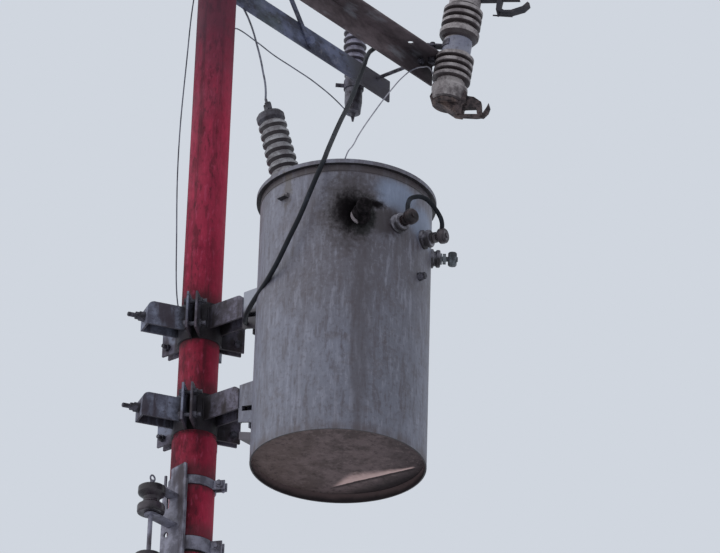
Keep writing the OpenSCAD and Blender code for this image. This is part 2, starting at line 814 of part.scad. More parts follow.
// The heavy loop between the two middle low voltage terminals
module lv_jumper() {
    color("black") lead(LV_LOOP, 6.5, 10);
}

// From the pole to the right arrester's lower stud
module arrester_lead() {
    color("dimgray") lead(ARRESTER, 2, 8);
}

// From the upper clamp's front arm up across the tank to the front angle
module bonding_cable() {
    color("black") lead(BONDING, 7, 10);
}

// Down beside the pole from the crossarm to the upper clamp
module ground_wire() {
    color("dimgray") lead(GROUND, 2, 8);
}

pole_lower();
pole_upper();
upper_clamp_front();
upper_clamp_left();
upper_clamp_right();
lower_clamp_front();
lower_clamp_left();
lower_clamp_right();
clamp_bolts();
hanger_bolts();
tank_shell();
tank_base();
tank_lid();
tank_lugs();
lifting_lugs();
pressure_plug();
hv_bushing_left();
hv_bushing_right();
lv_bushing_1();
lv_bushing_2();
lv_bushing_3();
lv_bushing_4();
crossarm_front();
crossarm_rear();
crossarm_saddles();
crossarm_bolts();
crossarm_braces();
cutout_insulator_left();
cutout_insulator_right();
cutout_contacts_left();
cutout_contacts_right();
cutout_brackets();
arrester_left();
arrester_right();
arrester_brackets();
rack_channel();
rack_spools();
rack_rod();
rack_bands();
hv_lead_left();
hv_lead_right();
lv_jumper();
arrester_lead();
bonding_cable();
ground_wire();
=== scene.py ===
# Looks of a pole mounted transformer: a stepped red steel pole with two cluster clamps,
# one round tank, a double crossarm with empty cutouts and arresters, and a spool rack.

import math

import bpy
import numpy as np
from mathutils import Matrix


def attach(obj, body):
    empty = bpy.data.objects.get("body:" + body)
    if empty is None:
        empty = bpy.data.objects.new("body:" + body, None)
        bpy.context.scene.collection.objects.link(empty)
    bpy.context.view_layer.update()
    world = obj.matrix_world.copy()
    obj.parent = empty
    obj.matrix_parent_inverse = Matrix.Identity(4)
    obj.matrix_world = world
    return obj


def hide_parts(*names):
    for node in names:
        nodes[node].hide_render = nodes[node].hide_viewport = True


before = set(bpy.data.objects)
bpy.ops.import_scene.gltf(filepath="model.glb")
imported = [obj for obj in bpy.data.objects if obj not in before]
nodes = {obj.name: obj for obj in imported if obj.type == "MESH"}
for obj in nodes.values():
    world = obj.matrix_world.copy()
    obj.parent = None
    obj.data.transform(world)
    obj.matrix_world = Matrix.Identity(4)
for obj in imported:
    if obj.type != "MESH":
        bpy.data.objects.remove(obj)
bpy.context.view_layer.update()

# Camera
# A long lens held at eye height, ten metres in front and to the left of the pole,
# looking steeply up and tipped a little to one side.


def put(name, data):
    """A new object in the scene, at the origin."""
    made = bpy.data.objects.new(name, data)
    bpy.context.scene.collection.objects.link(made)
    return made


eye = (-7.49776, -6.88071, 1.63702)
heading, climb, tip = math.radians(-49.99), math.radians(117.6385), math.radians(1.7726)
camera = put("camera", bpy.data.cameras.new("camera"))
camera.data.sensor_width = 36
camera.data.lens = 200
camera.data.clip_end = 200
camera.matrix_world = (Matrix.Translation(eye) @ Matrix.Rotation(heading, 4, "Z")
                       @ Matrix.Rotation(climb, 4, "X") @ Matrix.Rotation(tip, 4, "Z"))
bpy.context.scene.camera = camera

# Leads
# Bare tarnished conductors between the bushings, cutouts and arresters, a sheathed loop
# between two low voltage terminals, and a sheathed bonding cable from clamp to crossarm.


def tint(red, green, blue):
    """A paint chip's 0 to 255 values as the linear colour that a socket takes."""
    chip = np.array([red, green, blue]) / 255
    return (*np.where(chip > 0.04045, ((chip + 0.055) / 1.055) ** 2.4, chip / 12.92), 1.0)


class Reading:
    """A value that varies over a finish, such as a noise or a height. Readings are added,
    subtracted, multiplied and divided like plain numbers."""

    def __init__(self, finish, socket):
        self.finish = finish
        self.socket = socket

    def __add__(self, other):
        return self.finish.reckon("ADD", self, other)

    def __sub__(self, other):
        return self.finish.reckon("SUBTRACT", self, other)

    def __rsub__(self, other):
        return self.finish.reckon("SUBTRACT", other, self)

    def __mul__(self, other):
        return self.finish.reckon("MULTIPLY", self, other)

    def __truediv__(self, other):
        return self.finish.reckon("DIVIDE", self, other)

    __radd__ = __add__
    __rmul__ = __mul__

    def fade(self, low, high, end=1.0, start=0.0):
        """Turns a reading smoothly into a share: start at low, end at high."""
        feeds = {"Value": self, "From Min": low, "From Max": high, "To Min": start, "To Max": end}
        return self.finish.step("MapRange", feeds, interpolation_type="SMOOTHSTEP")["Result"]


class Finish:
    """One weathered surface: a first colour, then washes of others, each laid on as thickly
    as a reading says. Colours are given as chips' 0 to 255 values."""

    def __init__(self, name, colour, roughness, metallic=0.0, specular=0.5):
        self.material = bpy.data.materials.new(name)
        self.material.use_nodes = True
        self.shader = self.material.node_tree.nodes["Principled BSDF"]
        self.colour = colour
        for socket, value in (("Base Color", tint(*colour)), ("Roughness", roughness),
                              ("Metallic", metallic), ("Specular IOR Level", specular)):
            self.shader.inputs[socket].default_value = value

    def feed(self, socket, value):
        """Links a reading to a socket, or sets the socket to a plain value."""
        if isinstance(value, Reading):
            self.material.node_tree.links.new(value.socket, socket)
        else:
            socket.default_value = value

    def step(self, kind, feeds, **settings):
        """Adds a shader node with its settings and what feeds its sockets, each by its
        identifier, and gives the readings that come out of it."""
        added = self.material.node_tree.nodes.new("ShaderNode" + kind)
        for name, value in settings.items():
            setattr(added, name, value)
        for socket in added.inputs:
            if socket.identifier in feeds:
                self.feed(socket, feeds[socket.identifier])
        return {socket.identifier: Reading(self, socket) for socket in added.outputs}

    def reckon(self, operation, *values):
        """One step of arithmetic on one or two values."""
        return self.step("Math", dict(zip(("Value", "Value_001"), values)), operation=operation)["Value"]

    def grain(self, size, stretch=(1, 1, 1), detail=5.0, rough=0.6, shift=0.0):
        """Noise whose grains are about size metres across, longer along a stretched axis."""
        point = self.step("TexCoord", {})["Object"]
        moved = self.step("Mapping", {"Vector": point, "Location": (shift, shift, shift),
                                      "Scale": tuple(1 / s for s in stretch)})["Vector"]
        return self.step("TexNoise", {"Vector": moved, "Scale": 0.5 / size, "Detail": detail,
                                      "Roughness": rough})["Fac"]

    def blend(self, under, top, share):
        """The top colour laid over the one under it, as thickly as share says."""
        under, top = (tint(*colour) if isinstance(colour, tuple) else colour for colour in (under, top))
        feeds = {"Factor_Float": share, "A_Color": under, "B_Color": top}
        return self.step("Mix", feeds, data_type="RGBA")["Result_Color"]

    def wash(self, colour, share):
        """Lays a colour over the finish, as thickly as share says."""
        self.colour = self.blend(self.colour, colour, share)

    def paint(self, relief, depth, roughness=None, metallic=None):
        """Gives the shader the washed colour and a relief so many metres deep, and readings
        of roughness and metal where the finish has them."""
        bump = self.step("Bump", {"Height": relief, "Distance": depth, "Strength": 0.8})["Normal"]
        for socket, value in (("Base Color", self.colour), ("Normal", bump),
                              ("Roughness", roughness), ("Metallic", metallic)):
            if value is not None:
                self.feed(self.shader.inputs[socket], value)


def lead(name, finish, diameter, points):
    """A round conductor on one smooth curve through its route's points, each with handles
    in line, held by the object at both ends."""
    line = bpy.data.curves.new(name, "CURVE")
    line.dimensions = "3D"
    line.resolution_u = 8
    line.bevel_depth = diameter / 2
    line.bevel_resolution = 3
    line.use_fill_caps = True
    spline = line.splines.new("BEZIER")
    spline.bezier_points.add(len(points) - 1)
    for knot, point in zip(spline.bezier_points, points):
        knot.co = point
        knot.handle_left_type = knot.handle_right_type = "AUTO"
    line.materials.append(finish.material)
    made = put(name, line)
    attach(made, "root")
    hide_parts(name.removesuffix("_run"))


bare_wire = Finish("bare_wire", (92, 94, 108), 0.6, metallic=0.3)
bare_wire.wash((46, 48, 60), bare_wire.grain(0.03, detail=3.0).fade(0.42, 0.62))
bare_wire.paint(bare_wire.grain(0.002), 0.0004)

pale_wire = Finish("pale_wire", (150, 148, 158), 0.5, metallic=0.35)
pale_wire.wash((92, 92, 106), pale_wire.grain(0.05).fade(0.4, 0.65))
pale_wire.paint(pale_wire.grain(0.002), 0.0004)

sheath = Finish("black_sheath", (14, 17, 24), 0.6, specular=0.2)
dust = sheath.grain(0.02, detail=6.0)
sheath.wash((48, 54, 66), dust.fade(0.50, 0.72, 0.35))
sheath.paint(dust, 0.0006)

lead("hv_lead_left_run", bare_wire, 0.006, [
    (-0.195, -0.383, 7.306), (-0.191, -0.379, 7.335), (-0.131, -0.310, 7.460), (-0.052, -0.226, 7.575),
    (0.019, -0.147, 7.681), (0.090, -0.068, 7.785), (0.153, 0.005, 7.877), (0.205, 0.066, 7.950),
    (0.240, 0.115, 8.010), (0.258, 0.165, 8.070), (0.225, 0.213, 8.125), (0.110, 0.236, 8.170),
    (-0.200, 0.236, 8.215), (-0.560, 0.220, 8.265), (-0.860, 0.202, 8.312), (-0.935, 0.150, 8.300),
    (-0.965, 0.020, 8.190), (-0.950, -0.080, 8.000), (-0.905, -0.115, 7.905), (-0.880, -0.122, 7.885),
])
lead("hv_lead_right_run", pale_wire, 0.004, [
    (0.206, -0.342, 7.306), (0.215, -0.345, 7.335), (0.252, -0.332, 7.378), (0.324, -0.293, 7.461),
    (0.478, -0.227, 7.640), (0.633, -0.163, 7.812), (0.714, -0.135, 7.899), (0.779, -0.120, 7.961),
    (0.830, -0.118, 7.996), (0.862, -0.122, 8.005), (0.880, -0.126, 7.960), (0.880, -0.122, 7.885),
])
lead("lv_jumper_run", sheath, 0.013, [
    (-0.074, -0.814, 6.850), (-0.073, -0.811, 6.873), (-0.066, -0.807, 6.895), (-0.056, -0.806, 6.912),
    (-0.043, -0.809, 6.922), (-0.028, -0.815, 6.928), (-0.011, -0.821, 6.928), (0.008, -0.826, 6.920),
    (0.024, -0.829, 6.909), (0.039, -0.830, 6.898), (0.052, -0.829, 6.886), (0.061, -0.825, 6.872),
    (0.066, -0.817, 6.856),
])
lead("arrester_lead_run", bare_wire, 0.004, [
    (0.056, -0.012, 7.800), (0.068, -0.014, 7.803), (0.086, -0.009, 7.812), (0.198, 0.013, 7.829),
    (0.314, 0.046, 7.851), (0.452, 0.084, 7.884), (0.610, 0.129, 7.921), (0.789, 0.180, 7.947),
    (0.873, 0.200, 7.944),
])
lead("bonding_cable_run", sheath, 0.014, [
    (-0.031, -0.200, 6.722), (-0.057, -0.221, 6.710), (-0.097, -0.260, 6.703), (-0.150, -0.328, 6.698),
    (-0.200, -0.400, 6.693), (-0.240, -0.464, 6.697), (-0.264, -0.516, 6.722), (-0.270, -0.556, 6.774),
    (-0.267, -0.592, 6.838), (-0.262, -0.622, 6.908), (-0.250, -0.640, 6.970), (-0.222, -0.633, 7.021),
    (-0.180, -0.606, 7.072), (-0.099, -0.552, 7.162), (0.068, -0.439, 7.340), (0.202, -0.350, 7.480),
    (0.403, -0.216, 7.703), (0.553, -0.115, 7.876), (0.632, -0.060, 7.964), (0.668, -0.043, 8.004),
    (0.698, -0.044, 8.031), (0.722, -0.059, 8.044), (0.736, -0.076, 8.048),
])
lead("ground_wire_run", bare_wire, 0.004, [
    (-0.037, 0.044, 7.930), (-0.042, 0.050, 7.910), (-0.045, 0.054, 7.871), (-0.052, 0.062, 7.663),
    (-0.058, 0.069, 7.358), (-0.053, 0.064, 7.093), (-0.044, 0.053, 6.857), (-0.039, 0.047, 6.828),
])

# Pole
# Two lengths of steel tube in old crimson enamel, the narrower one welded into the top of
# the wider. The enamel is chalky and scuffed, darker where rust grows through, and streaked.


def dress(finish, *names):
    """Puts a finish on CAD nodes as they stand."""
    for name in names:
        for slot in nodes[name].material_slots:
            slot.material = finish.material


def place(finish):
    """Where a point of the object lies: its x, its y and its height above the ground."""
    point = finish.step("SeparateXYZ", {"Vector": finish.step("TexCoord", {})["Object"]})
    return point["X"], point["Y"], point["Z"]


def streaks(finish, width, length, shift=0.0):
    """Noise drawn out downwards, as rain draws dirt."""
    return finish.grain(width, stretch=(1, 1, length / width), detail=4.0, shift=shift)


def tube(path, radius, off, closed=False, sides=8):
    """A round bar along a path. The ring at each point is that point plus the radius times
    u cos a + w sin a for a full turn of a, with u square to the heading and to the direction
    off, and w square to the heading and to u."""
    count = len(path)
    heading = np.roll(path, -1, 0) - np.roll(path, 1, 0) if closed else np.gradient(path, axis=0)
    u = np.cross(heading, off)
    u /= np.linalg.norm(u, axis=1)[:, None]
    w = np.cross(heading, u)
    w /= np.linalg.norm(w, axis=1)[:, None]
    angle = np.linspace(0, 2 * np.pi, sides, endpoint=False)[:, None]
    reach = np.broadcast_to(radius, count)[:, None, None]
    rings = path[:, None] + reach * (np.cos(angle) * u[:, None] + np.sin(angle) * w[:, None])
    row = np.arange(count if closed else count - 1)[:, None]
    spoke = np.arange(sides)
    here, beyond = row * sides, (row + 1) % count * sides
    walls = np.stack([here + spoke, here + (spoke + 1) % sides, beyond + (spoke + 1) % sides,
                      beyond + spoke], -1).reshape(-1, 4)
    ends = np.stack([spoke[::-1], (count - 1) * sides + spoke])
    return rings.reshape(-1, 3), walls, ends[:0] if closed else ends


def solid(name, shapes, finish):
    """One new piece of the object out of several closed surfaces, smoothly shaded."""
    firsts = np.cumsum([0] + [len(points) for points, _, _ in shapes])
    faces = []
    for first, (_, walls, ends) in zip(firsts, shapes):
        faces += (walls + first).tolist() + (ends + first).tolist()
    mesh = bpy.data.meshes.new(name)
    mesh.from_pydata(np.concatenate([points for points, _, _ in shapes]).tolist(), [], faces)
    mesh.polygons.foreach_set("use_smooth", np.ones(len(faces), bool))
    mesh.materials.append(finish.material)
    made = put(name, mesh)
    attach(made, "root")


def bead(path, off, size=0.003, closed=False):
    """A weld bead along a path: a tube whose radius rises and falls as two sines of the way
    along it, one with a wave of 2.2 sizes, as the weld pool froze ripple by ripple."""
    along = np.concatenate([[0.0], np.cumsum(np.linalg.norm(np.diff(path, axis=0), axis=1))])
    ripples = 0.12 * np.sin(along * 2 * np.pi / (2.2 * size)) + 0.10 * np.sin(along * 37.0)
    return tube(path, size * (1 + ripples), off, closed)


def ring(radius, height, middle=(0.0, 0.0), count=240):
    """A level circle: middle plus radius times (sin a, -cos a), for a full turn of a."""
    turn = np.linspace(0, 2 * np.pi, count, endpoint=False)
    return np.stack([middle[0] + radius * np.sin(turn), middle[1] - radius * np.cos(turn),
                     np.full(count, height)], 1)


# Heights of the two clamps' hanger bolts, and from where to where each band holds the pole
upper_bolt, lower_bolt = 6.78, 6.494
clamp_bands = [(bolt - 0.062, bolt + 0.052) for bolt in (upper_bolt, lower_bolt)]
rack_bands = [(6.058, 6.108), (6.262, 6.292)]

red_enamel = Finish("red_enamel", (88, 12, 31), 0.75, specular=0.22)
x, y, height = place(red_enamel)
blotches = red_enamel.grain(0.05, detail=8.0, rough=0.65)
mottle = red_enamel.grain(0.012, stretch=(1, 1, 3), detail=7.0, rough=0.7, shift=3.0)
flecks = red_enamel.grain(0.005, stretch=(1, 1, 3), detail=4.0, shift=2.0)
runs = streaks(red_enamel, 0.014, 0.35, shift=5.0)
red_enamel.wash((118, 20, 44), blotches.fade(0.40, 0.60))
# Chalked and greyer towards the top, which the weather reaches, but bright above the clamps
red_enamel.wash((118, 72, 88), height.fade(6.9, 7.6, 0.25))
red_enamel.wash((150, 30, 64), height.fade(6.84, 6.96, 0.38))
red_enamel.wash((66, 10, 25), mottle.fade(0.50, 0.62, 0.6))
red_enamel.wash((152, 36, 64), mottle.fade(0.46, 0.34, 0.5))
red_enamel.wash((58, 16, 27), runs.fade(0.52, 0.68, 0.6))
red_enamel.wash((52, 12, 24), flecks.fade(0.56, 0.66, 0.55))
red_enamel.wash((156, 62, 90), flecks.fade(0.44, 0.34, 0.3))
# Painted light: the side between the front arm and the right one faces away from the sun, and is painted
# a brighter red as though it were lit as well
painted_light_side = 0.64 * x - 0.77 * y + 0.02 * mottle
red_enamel.wash((168, 36, 68), painted_light_side.fade(0.025, 0.06, 0.5))
# Dull and purplish from below the crossarm up
towards_crossarm = height + 0.5 * (blotches - 0.5)
red_enamel.wash((62, 36, 49), towards_crossarm.fade(7.38, 7.82, 0.78))
# Grime that the rain washes off each band and holds above it, and painted near-black shade where each
# band holds the pole, which shows in the gaps between the band's parts
fuzzy = height + 0.10 * (mottle - 0.5)
for foot, top in clamp_bands + rack_bands:
    above = fuzzy.fade(top + 0.055, top + 0.01, 0.6) * fuzzy.fade(foot - 0.02, foot)
    red_enamel.wash((50, 30, 34), above)
    # Painted shade: near-black where the band holds the pole
    held = height.fade(top + 0.003, top - 0.003) * height.fade(foot - 0.003, foot + 0.003)
    red_enamel.wash((17, 14, 16), held)
red_enamel.paint(mottle, 0.0015, roughness=blotches.fade(0.3, 0.7, start=0.85, end=0.65))
dress(red_enamel, "pole_lower", "pole_upper")

# The weld around the foot of the narrower tube
weld_radius, weld_height = 0.0575, 6.431
solid("pole_weld", [bead(ring(weld_radius, weld_height), (0, 0, 1), closed=True)],
      red_enamel)

# Secondary rack
# A galvanised channel strapped to the pole by two bands. Brown glazed spools sit between
# its pressed tongues, on a common rod.

dull_zinc = Finish("dull_zinc", (80, 78, 90), 0.65, metallic=0.25)
spangle = dull_zinc.grain(0.02, detail=7.0, rough=0.7)
grime = streaks(dull_zinc, 0.02, 0.12, shift=3.0)
dull_zinc.wash((122, 121, 136), spangle.fade(0.38, 0.62))
dull_zinc.wash((58, 50, 54), grime.fade(0.52, 0.68, 0.8))
dull_zinc.paint(spangle, 0.0008, roughness=grime.fade(0.4, 0.7, start=0.5, end=0.8))
dress(dull_zinc, "rack_channel", "rack_bands", "rack_rod", "crossarm_saddles")

brown_glaze = Finish("brown_glaze", (25, 20, 25), 0.3, specular=0.35)
pooling = brown_glaze.grain(0.03)
brown_glaze.wash((52, 45, 52), pooling.fade(0.4, 0.65))
brown_glaze.paint(pooling, 0.0005,
                  roughness=brown_glaze.grain(0.006).fade(0.35, 0.65, start=0.15, end=0.5))
dress(brown_glaze, "rack_spools")

# Cluster clamps
# Three pressed and welded steel sectors to each clamp, bolted together around the pole.
# Once galvanised, they are grey with a violet cast now, and brown and black at the joints, the black
# being grime and painted shade.


def underside(finish):
    """How squarely a face looks down: 1 straight down, 0 upright, -1 straight up."""
    return finish.step("SeparateXYZ", {"Vector": finish.step("NewGeometry", {})["Normal"]})["Z"] * -1.0


def larger(first, second):
    """The larger of a reading and another value."""
    return first.finish.reckon("MAXIMUM", first, second)


def distance(x, y):
    """How far two readings lie from nought: the root of x squared plus y squared."""
    return x.finish.reckon("SQRT", x * x + y * y)


def clamp_steel(name, pale, dark, stain, grime_and_shade_reach):
    """Weathered plate, pale and dark in patches, stained downwards, darker underneath with dirt and
    painted shade, and black with grime and painted shade nearer to the pole's axis than the distance
    given."""
    made = Finish(name, dark, 0.7, metallic=0.15, specular=0.35)
    x, y, height = place(made)
    patches = made.grain(0.03, detail=9.0, rough=0.7)
    specks = made.grain(0.007, detail=5.0, shift=1.0)
    stains = streaks(made, 0.016, 0.08, shift=4.0)
    made.wash(pale, patches.fade(0.40, 0.60))
    # Browner from some 35 mm below each hanger bolt down to its band's lower edge
    half_pitch = (upper_bolt - lower_bolt) / 2
    drop = made.reckon("PINGPONG", height - lower_bolt, half_pitch) + 0.02 * patches
    lower_band = height.fade(lower_bolt - 0.024, lower_bolt - 0.030)
    upper_band = height.fade(upper_bolt - 0.024, upper_bolt - 0.030) * height.fade(6.60, 6.61)
    made.wash((70, 58, 68), drop.fade(0.040, 0.052, 0.6) * larger(lower_band, upper_band))
    made.wash(stain, specks.fade(0.55, 0.68, 0.7))
    made.wash(stain, stains.fade(0.48, 0.64, 0.85))
    # Grime and painted shade: near-black in the joints between the sectors, nearer to the pole's axis
    joint = distance(x, y) + 0.06 * (patches - 0.5)
    made.wash((26, 22, 25), joint.fade(grime_and_shade_reach, grime_and_shade_reach - 0.034, 0.85))
    # Dirt and painted shade: darker on faces that look down
    made.wash((50, 44, 50), underside(made).fade(0.2, 0.8, 0.6))
    made.paint(patches, 0.0015, roughness=patches.fade(0.3, 0.7, start=0.8, end=0.55))
    return made


side_steel = clamp_steel("side_clamp_steel", (110, 114, 132), (76, 76, 90), (54, 46, 54), 0.095)
front_steel = clamp_steel("front_clamp_steel", (98, 94, 110), (64, 59, 67), (46, 39, 41), 0.106)
dress(side_steel, "upper_clamp_left", "upper_clamp_right", "lower_clamp_left", "lower_clamp_right")
dress(front_steel, "upper_clamp_front", "lower_clamp_front")


def turned(shape, degrees, lift):
    """A shape's points turned around the pole by a bearing, and lifted."""
    points, walls, ends = shape
    c, s = math.cos(math.radians(degrees)), math.sin(math.radians(degrees))
    return points @ np.array([[c, s, 0], [-s, c, 0], [0, 0, 1]]) + (0, 0, lift), walls, ends


# The welds that join each arm's two side plates to its share of the band
plate_out, band_out, seam_low, seam_high = 0.0315, 0.0562, -0.031, 0.038
seams = [np.linspace((x, -band_out, seam_low), (x, -band_out, seam_high), 40)
         for x in (-plate_out, plate_out)]
solid("clamp_welds", [turned(bead(seam, (1, 0, 0), size=0.0028), degrees, bolt) for seam in seams
                      for degrees in (-120, 0, 120) for bolt in (upper_bolt, lower_bolt)],
      front_steel)

dark_bolt = Finish("dark_bolt", (36, 34, 41), 0.65, metallic=0.3)
rust_spots = dark_bolt.grain(0.008, detail=6.0)
dark_bolt.wash((78, 76, 87), rust_spots.fade(0.42, 0.62))
dark_bolt.paint(rust_spots, 0.0008)
dress(dark_bolt, "clamp_bolts", "hanger_bolts", "crossarm_bolts", "pressure_plug")


def thread(near, far, radius=0.0064, pitch=0.00175, depth=0.0005):
    """The ridge of a screw thread on a bolt that points to -Y: it goes around at radius times
    (sin a, cos a) while a runs one turn for each pitch of the way from near to far."""
    turns = (far - near) / pitch
    a = np.linspace(0, 2 * np.pi * turns, int(turns * 20))
    path = np.stack([radius * np.sin(a), -near - pitch * a / (2 * np.pi), radius * np.cos(a)], 1)
    return tube(path, depth * np.minimum(1, 0.2 + np.minimum(a, a[::-1]) / 4), (0, 1, 0), sides=5)


# Each arm's bearing, and how far from the pole's axis its bolt's bare end starts and stops
free_ends = [(-120, 0.1955, 0.2155), (0, 0.2175, 0.2215), (120, 0.1955, 0.2155)]
solid("hanger_threads", [turned(thread(near, far), degrees, bolt) for degrees, near, far in free_ends
                         for bolt in (upper_bolt, lower_bolt)],
      dark_bolt)

# Tank
# A rolled steel shell in light grey enamel with a violet cast, hung on the front arms by
# two welded lugs, its lid clamped over the rim. Soot fans up from the first low voltage
# terminal, and brown stain runs down from it.

tank_axis, tank_radius = -0.53, 0.24  # the axis stands at x 0 and this y
tank_foot, bead_height, rim_height, lid_height = 6.20, 6.984, 7.002, 7.012
burnt_turn, burnt_height = -40.5, 6.846  # the first low voltage terminal, in degrees and metres


def around_tank(finish):
    """A point's bearing around the tank's axis in radians, 0 towards -Y, its distance from
    that axis, and its height above the ground."""
    x, y, height = place(finish)
    out = tank_axis - y
    return finish.reckon("ARCTAN2", x, out), distance(out, x), height


def patch(bearing, height, middle, level, width, tall):
    """1 in the middle of an upright oval on the tank's wall, 0 on its edge, less outside. The
    middle is a bearing in degrees, and width and tall are the oval's two radii."""
    across = (bearing - math.radians(middle)) * (tank_radius / width)
    along = (height - level) / tall
    return 1.0 - distance(across, along)


tank_grey = Finish("tank_grey", (82, 79, 88), 0.5, specular=0.4)
bearing, reach, height = around_tank(tank_grey)
clouds = tank_grey.grain(0.14, detail=8.0, rough=0.62)
blots = tank_grey.grain(0.028, detail=8.0, rough=0.7, shift=9.0)
speckle = tank_grey.grain(0.0055, detail=4.0, shift=1.0)
rough_edge = tank_grey.grain(0.022, stretch=(1, 1, 1.5), detail=8.0, rough=0.7, shift=8.0)
washes = streaks(tank_grey, 0.018, 0.45, shift=6.0)
pale_runs = streaks(tank_grey, 0.010, 0.30, shift=2.0)
strokes = streaks(tank_grey, 0.007, 0.035, shift=4.0)
tank_grey.wash((96, 96, 109), clouds.fade(0.38, 0.62))
# Dirtier below the terminals, bluer and cleaner towards the foot
dirt = patch(bearing, height, -20, 6.62, width=0.16, tall=0.62)
tank_grey.wash((64, 61, 68), dirt.fade(0.0, 0.5, 0.4))
tank_grey.wash((99, 103, 118), height.fade(tank_foot + 0.58, tank_foot + 0.15, 0.45))
tank_grey.wash((74, 67, 72), blots.fade(0.52, 0.66, 0.5))
tank_grey.wash((106, 106, 118), blots.fade(0.45, 0.33, 0.3))
tank_grey.wash((68, 62, 69), strokes.fade(0.52, 0.66, 0.6))
tank_grey.wash((120, 121, 135), strokes.fade(0.47, 0.34, 0.45))
tank_grey.wash((72, 67, 75), washes.fade(0.52, 0.68, 0.5))
tank_grey.wash((116, 117, 130), pale_runs.fade(0.58, 0.70, 0.3))
tank_grey.wash((66, 60, 67), speckle.fade(0.54, 0.66, 0.45))
tank_grey.wash((118, 119, 132), speckle.fade(0.44, 0.34, 0.25))
# Cleaner and bluer where the terminals shelter the wall
clean = larger(patch(bearing, height, -15, 6.935, width=0.10, tall=0.062),
               patch(bearing, height, 14, 6.885, width=0.11, tall=0.070))
tank_grey.wash((114, 128, 154), (clean + 0.8 * (blots - 0.5)).fade(0.0, 0.6, 0.6))
# Painted shadow under the lid's lip, with brown grime, between the rim and the bead below it, and brown
# grime along the foot
under_lip_shadow = (height.fade(bead_height - 0.008, bead_height)
             * height.fade(rim_height + 0.0005, rim_height - 0.0005))
tank_grey.wash((58, 50, 53), under_lip_shadow * washes.fade(0.32, 0.52, start=0.35, end=0.9))
near_foot = height.fade(tank_foot + 0.035, tank_foot + 0.005)
tank_grey.wash((70, 62, 66), near_foot * washes.fade(0.40, 0.60, start=0.2, end=0.8))
# A rusty run from the rim on the left, and a brown stain below the burnt terminal
rust_run = patch(bearing, height, -92.5, 6.955, width=0.020, tall=0.07) + 1.4 * (speckle - 0.5)
tank_grey.wash((72, 64, 58), rust_run.fade(-0.1, 0.6, 0.6))
stain = patch(bearing, height, burnt_turn + 2, burnt_height - 0.346, width=0.038, tall=0.42)
tank_grey.wash((62, 56, 62), (stain + 0.9 * (washes - 0.5)).fade(0.0, 0.6, 0.55))
# Painted shade on the undersides, and the brown unpainted inside of the skirt
tank_grey.wash((22, 19, 22), underside(tank_grey).fade(0.3, 0.8, 0.9))
skirt = tank_grey.blend((32, 26, 29), (84, 70, 71),
                        (height + 0.02 * blots).fade(tank_foot + 0.014, tank_foot + 0.032))
inside = height.fade(tank_foot + 0.10, tank_foot + 0.09) * reach.fade(0.2384, 0.2376)
tank_grey.wash(skirt, inside)
# The lugs, on the pole's side: pale at the top, black from the upper bolt down to the lug's foot, brown
# on the slanting bar
lugs = place(tank_grey)[1].fade(-0.2935, -0.2895)
tank_grey.wash((148, 151, 163), lugs * height.fade(upper_bolt - 0.015, upper_bolt + 0.005, 0.7))
below_upper_bolt = (height + 0.03 * (blots - 0.5)).fade(upper_bolt - 0.010, upper_bolt - 0.022, 0.88)
tank_grey.wash((42, 36, 42), lugs * below_upper_bolt * height.fade(6.60, 6.62))
tank_grey.wash((74, 68, 74), lugs * height.fade(6.39, 6.38, 0.8))
# Soot: a smoky haze, in it a halo that climbs to the left with a spur to the right, and a
# dense black heart
ragged = speckle - 0.5 + 1.1 * (rough_edge - 0.5)
haze = larger(patch(bearing, height, burnt_turn - 6.5, burnt_height + 0.016, width=0.098, tall=0.150),
              patch(bearing, height, burnt_turn + 16.5, burnt_height - 0.004, width=0.075, tall=0.055))
tank_grey.wash((46, 39, 43), (haze + 0.6 * ragged).fade(-0.1, 0.55, 0.88))
halo = larger(patch(bearing, height, burnt_turn - 5.5, burnt_height + 0.012, width=0.074, tall=0.088),
              patch(bearing, height, burnt_turn + 10, burnt_height + 0.043, width=0.042, tall=0.018))
halo = halo + 0.7 * ragged
tank_grey.wash((22, 18, 21), halo.fade(-0.05, 0.6, 0.94))
heart = patch(bearing, height, burnt_turn + 1, burnt_height + 0.002, width=0.047, tall=0.080)
tank_grey.wash((9, 7, 9), (heart + 0.6 * ragged).fade(-0.05, 0.45))
# Soot swallows the sky's reflection, which a black metal does in the shader
tank_grey.paint(blots, 0.0008, roughness=halo.fade(0.0, 0.6, start=0.5, end=0.95),
                metallic=halo.fade(0.1, 0.8, 0.9))
dress(tank_grey, "tank_shell", "tank_lid", "tank_lugs", "lifting_lugs")

# The welds of the lugs and the bar, and the narrow bead pressed into the wall below the rim
lug_side, lug_back, lug_tops = 0.0283, -0.2912, (6.826, 6.534)
lug_seams = [np.linspace((x, lug_back, top - 0.003), (x, lug_back, top - 0.139), 70)
             for x in (-lug_side, lug_side) for top in lug_tops]
bar_edges = (6.3575, 6.3312)
across = np.linspace(-0.029, 0.029, 40)
wall_face = tank_axis + np.sqrt((tank_radius + 0.0012) ** 2 - across ** 2)
bar_seams = [np.stack([across, wall_face, np.full_like(across, edge)], 1) for edge in bar_edges]
rim_bead = tube(ring(tank_radius - 0.0007, bead_height, (0, tank_axis)), 0.0018, (0, 0, 1), closed=True)
solid("tank_welds", [bead(seam, (1, 0, 0)) for seam in lug_seams]
      + [bead(seam, (0, 0, 1)) for seam in bar_seams] + [rim_bead], tank_grey)

rusty_base = Finish("rusty_base", (70, 60, 60), 0.85, specular=0.25)
x, y, _ = place(rusty_base)
scale = rusty_base.grain(0.03, detail=9.0, rough=0.7)
crumbs = rusty_base.grain(0.007, detail=5.0, shift=4.0)
rusty_base.wash((96, 83, 84), scale.fade(0.40, 0.60))
